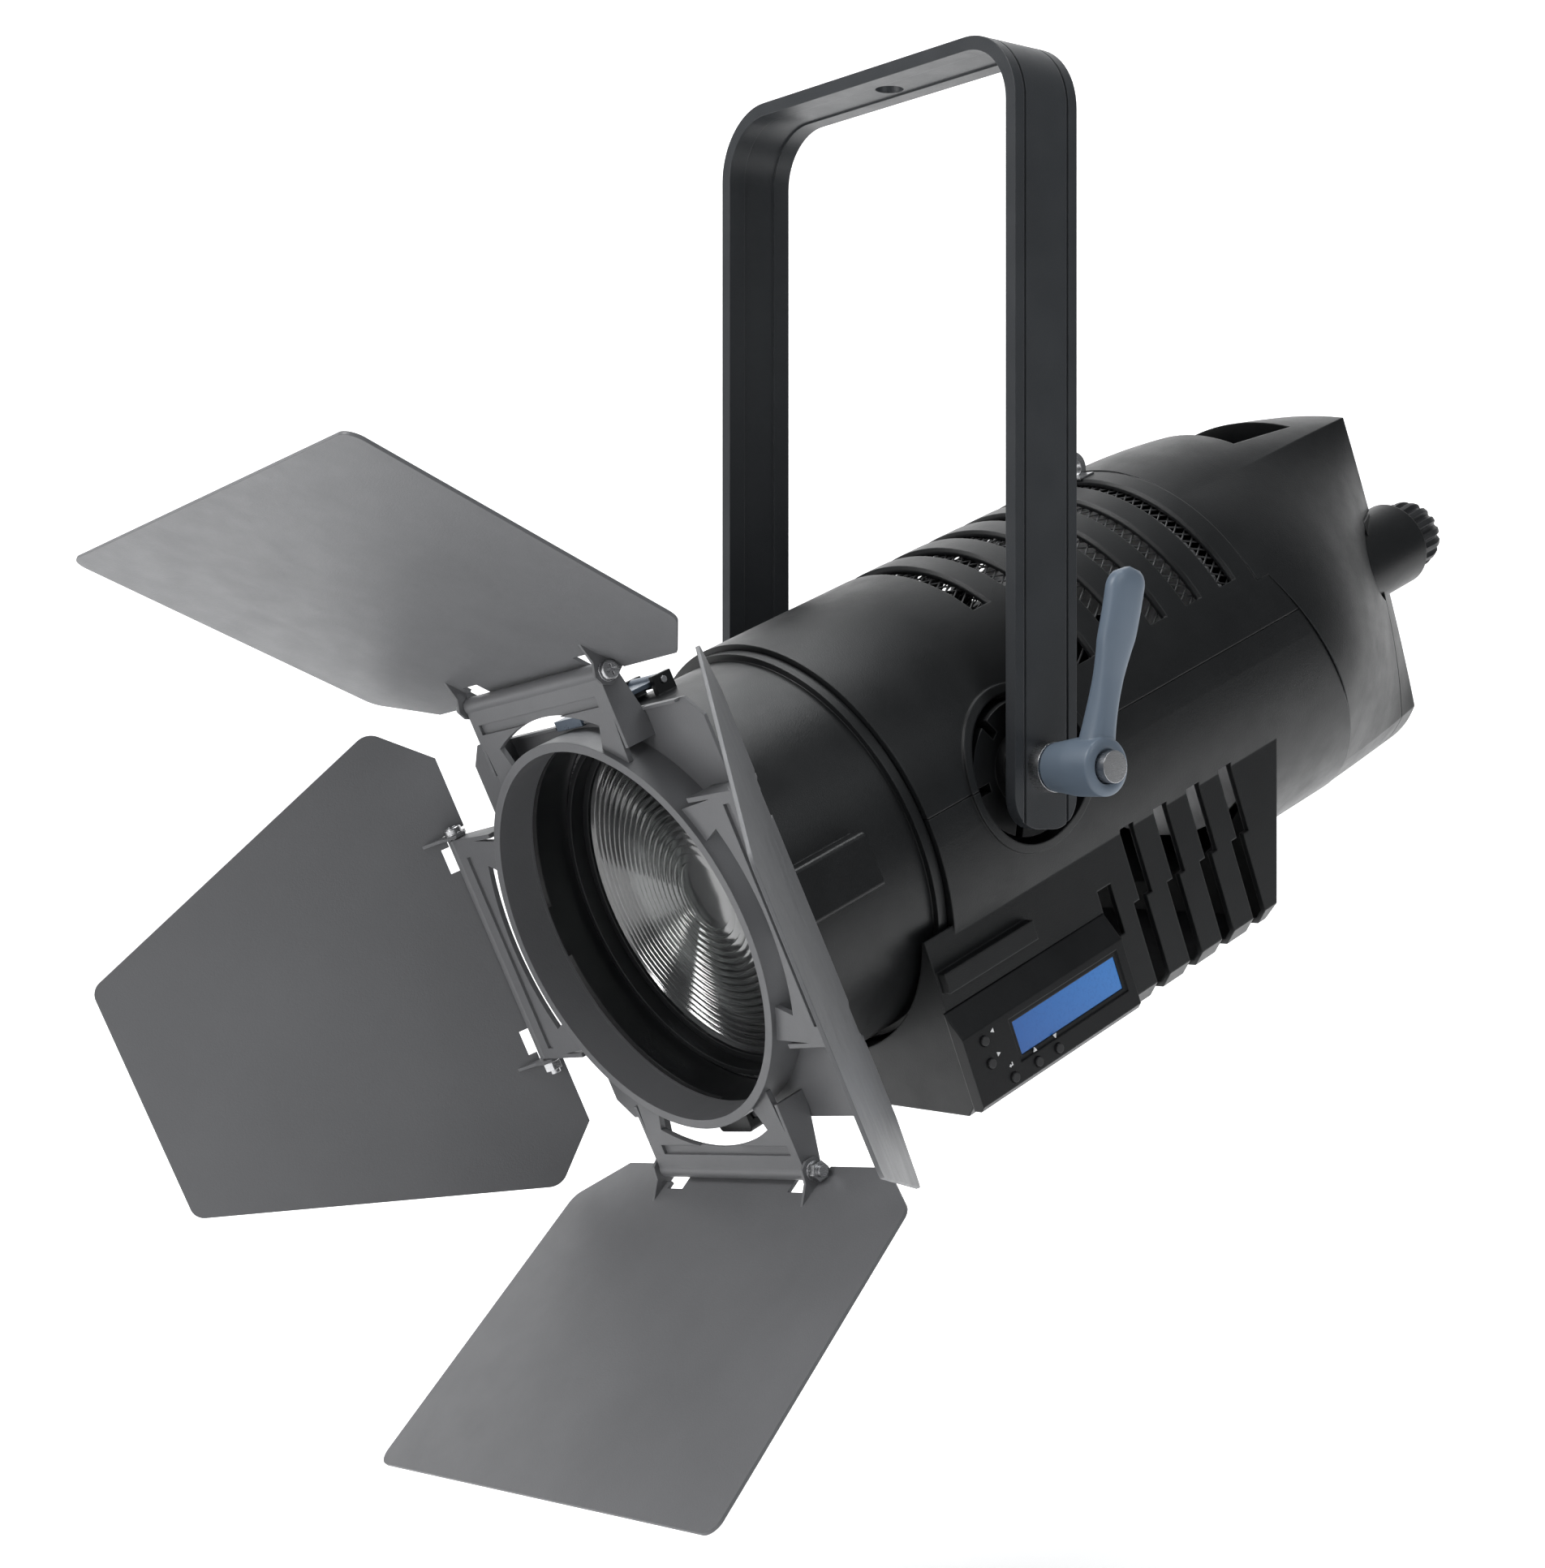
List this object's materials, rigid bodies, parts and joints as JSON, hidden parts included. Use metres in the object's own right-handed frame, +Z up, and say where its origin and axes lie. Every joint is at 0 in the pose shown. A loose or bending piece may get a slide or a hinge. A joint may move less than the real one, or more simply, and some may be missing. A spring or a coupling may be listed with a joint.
{
  "type": "fresnel spotlight",
  "caption": "Tilting stage spotlight with a stepped lens, hanging yoke, clamp lever, control panel, focus knob and a turning accessory ring with hinged barn door leaves.",
  "frame": {"origin": "centre of the yoke's hanging hole, on the outer (upper) face of the top bar", "axes": "+Z up along the hanging hole, +X towards the side with the display and clamp lever, -Y the side that the light shines to"},
  "size_m": [0.4576, 0.6652, 0.6225],
  "materials": {
    "yoke_black": "textured black powder coat",
    "steel": "zinc plated",
    "nylon": "smooth",
    "cast_lever": "blue-grey cast, satin",
    "body_plastic": "fine textured charcoal",
    "mesh_steel": "black expanded mesh",
    "boss_black": "satin black",
    "nose_black": "satin black",
    "lens_glass": "clear stepped glass",
    "seal_rubber": "matte",
    "bare_aluminium": "milled",
    "fan_plastic": "black",
    "panel_plastic": "smooth satin",
    "display_glass": "blue backlit display",
    "board_green": "circuit board",
    "bronze": "sintered bronze",
    "led_yellow": "phosphor on a white board",
    "mirror_reflector": "bright",
    "knob_plastic": "moulded, ribbed",
    "socket_plastic": "black moulded",
    "latch_steel": "blue-grey plated sheet",
    "leaf_grey": "mid grey powder coat",
    "button_rubber": "soft black"
  },
  "bodies": {
    "yoke": {"yoke_frame": "yoke_black", "far_pivot_bolt": "steel", "pivot_washers": "nylon", "clamp_spacer": "steel"},
    "head": {"upper_housing": "body_plastic", "lower_housing": "body_plastic", "rear_cover": "body_plastic", "end_cap": "body_plastic", "vent_mesh": "mesh_steel", "pivot_drums": "boss_black", "lens_tube": "nose_black", "fresnel_lens": "lens_glass", "lens_gasket": "seal_rubber", "lens_retainer": "nose_black", "bulkhead": "bare_aluminium", "guide_rods": "steel", "fan_frame": "fan_plastic", "led_driver": "bare_aluminium", "safety_eye": "steel", "housing_screws": "steel", "control_bezel": "panel_plastic", "display_window": "display_glass", "display_module": "board_green", "control_board": "board_green", "knob_bush": "bronze", "power_inlet": "socket_plastic", "power_outlet": "socket_plastic", "data_sockets": "socket_plastic", "collar_retainer": "steel"},
    "clamp_screw": {"clamp_stud": "steel", "clamp_cap": "steel"},
    "clamp_lever": {"clamp_lever": "cast_lever"},
    "fan_rotor": {"fan_rotor": "fan_plastic"},
    "carriage": {"led_carriage": "bare_aluminium", "carriage_bushes": "bronze", "carriage_nut": "bronze", "heat_sink": "bare_aluminium", "led_array": "led_yellow", "reflector": "mirror_reflector"},
    "focus_knob": {"zoom_knob": "knob_plastic", "lead_screw": "steel"},
    "accessory_ring": {"accessory_collar": "nose_black", "latch_pin": "steel", "barn_plate": "leaf_grey", "barn_ring": "leaf_grey", "bottom_loop": "steel", "hinge_bolts": "steel", "hinge_nuts": "steel", "hinge_washers": "steel"},
    "frame_latch": {"frame_latch": "latch_steel"},
    "top_leaf": {"top_leaf": "leaf_grey"},
    "left_leaf": {"left_leaf": "leaf_grey"},
    "bottom_leaf": {"bottom_leaf": "leaf_grey"},
    "right_leaf": {"right_leaf": "leaf_grey"},
    "button_back": {"button_back": "button_rubber"},
    "button_menu": {"button_menu": "button_rubber"},
    "button_enter": {"button_enter": "button_rubber"},
    "button_up": {"button_up": "button_rubber"},
    "button_down": {"button_down": "button_rubber"}
  },
  "joints": [
    {"name": "head_tilt", "type": "hinge", "parent": "yoke", "child": "head", "pos_m": [0, 0, -0.315], "axis": [1, 0, 0], "range_deg": [-43, 45]},
    {"name": "clamp_turn", "type": "hinge", "parent": "yoke", "child": "clamp_screw", "pos_m": [0.106, 0, -0.315], "axis": [1, 0, 0], "range_deg": [-60, 100]},
    {"name": "lever_pull", "type": "slide", "parent": "clamp_screw", "child": "clamp_lever", "axis": [1, 0, 0], "range_m": [0, 0.004], "stiffness_N_per_m": 500, "springref_m": -0.004},
    {"name": "fan_spin", "type": "hinge", "parent": "head", "child": "fan_rotor", "pos_m": [0, 0.1566, -0.26045], "axis": [0, 0.9219, 0.3875], "continuous": true},
    {"name": "focus_turn", "type": "hinge", "parent": "head", "child": "focus_knob", "pos_m": [0.042, 0.30271, -0.19903], "axis": [0, 0.9219, 0.3875], "range_deg": [-1080, 1080]},
    {"name": "carriage_slide", "type": "slide", "parent": "head", "child": "carriage", "axis": [0, 0.9219, 0.3875], "range_m": [-0.03, 0.03]},
    {"name": "ring_roll", "type": "hinge", "parent": "head", "child": "accessory_ring", "pos_m": [0, -0.12687, -0.37961], "axis": [0, 0.9219, 0.3875], "continuous": true},
    {"name": "latch_lift", "type": "hinge", "parent": "accessory_ring", "child": "frame_latch", "pos_m": [-0.01064, -0.12804, -0.27879], "axis": [-0.9936, 0.0439, -0.1044], "range_deg": [0, 45], "stiffness_Nm_per_rad": 0.02, "springref_deg": -28.65},
    {"name": "top_hinge", "type": "hinge", "parent": "accessory_ring", "child": "top_leaf", "pos_m": [-0.01268, -0.18346, -0.28269], "axis": [0.9936, -0.0439, 0.1044], "range_deg": [-43.4, 46.6]},
    {"name": "left_hinge", "type": "hinge", "parent": "accessory_ring", "child": "left_leaf", "pos_m": [-0.11476, -0.13527, -0.39733], "axis": [-0.1132, -0.385, 0.9159], "range_deg": [-66.1, 63.9]},
    {"name": "bottom_hinge", "type": "hinge", "parent": "accessory_ring", "child": "bottom_leaf", "pos_m": [0.01268, -0.09721, -0.48786], "axis": [-0.9936, 0.0439, -0.1044], "range_deg": [-66.9, 23.1]},
    {"name": "right_hinge", "type": "hinge", "parent": "accessory_ring", "child": "right_leaf", "pos_m": [0.11476, -0.1454, -0.37322], "axis": [0.1132, 0.385, -0.9159], "range_deg": [-38.3, 91.7]},
    {"name": "button_back_press", "type": "slide", "parent": "head", "child": "button_back", "axis": [-1, 0, 0], "range_m": [0, 0.0008], "stiffness_N_per_m": 300, "springref_m": -0.0005},
    {"name": "button_menu_press", "type": "slide", "parent": "head", "child": "button_menu", "axis": [-1, 0, 0], "range_m": [0, 0.0008], "stiffness_N_per_m": 300, "springref_m": -0.0005},
    {"name": "button_enter_press", "type": "slide", "parent": "head", "child": "button_enter", "axis": [-1, 0, 0], "range_m": [0, 0.0008], "stiffness_N_per_m": 300, "springref_m": -0.0005},
    {"name": "button_up_press", "type": "slide", "parent": "head", "child": "button_up", "axis": [-1, 0, 0], "range_m": [0, 0.0008], "stiffness_N_per_m": 300, "springref_m": -0.0005},
    {"name": "button_down_press", "type": "slide", "parent": "head", "child": "button_down", "axis": [-1, 0, 0], "range_m": [0, 0.0008], "stiffness_N_per_m": 300, "springref_m": -0.0005}
  ],
  "couplings": [
    {"joint": "focus_turn", "follows": "carriage_slide", "rad_per_m": 628.3}
  ]
}
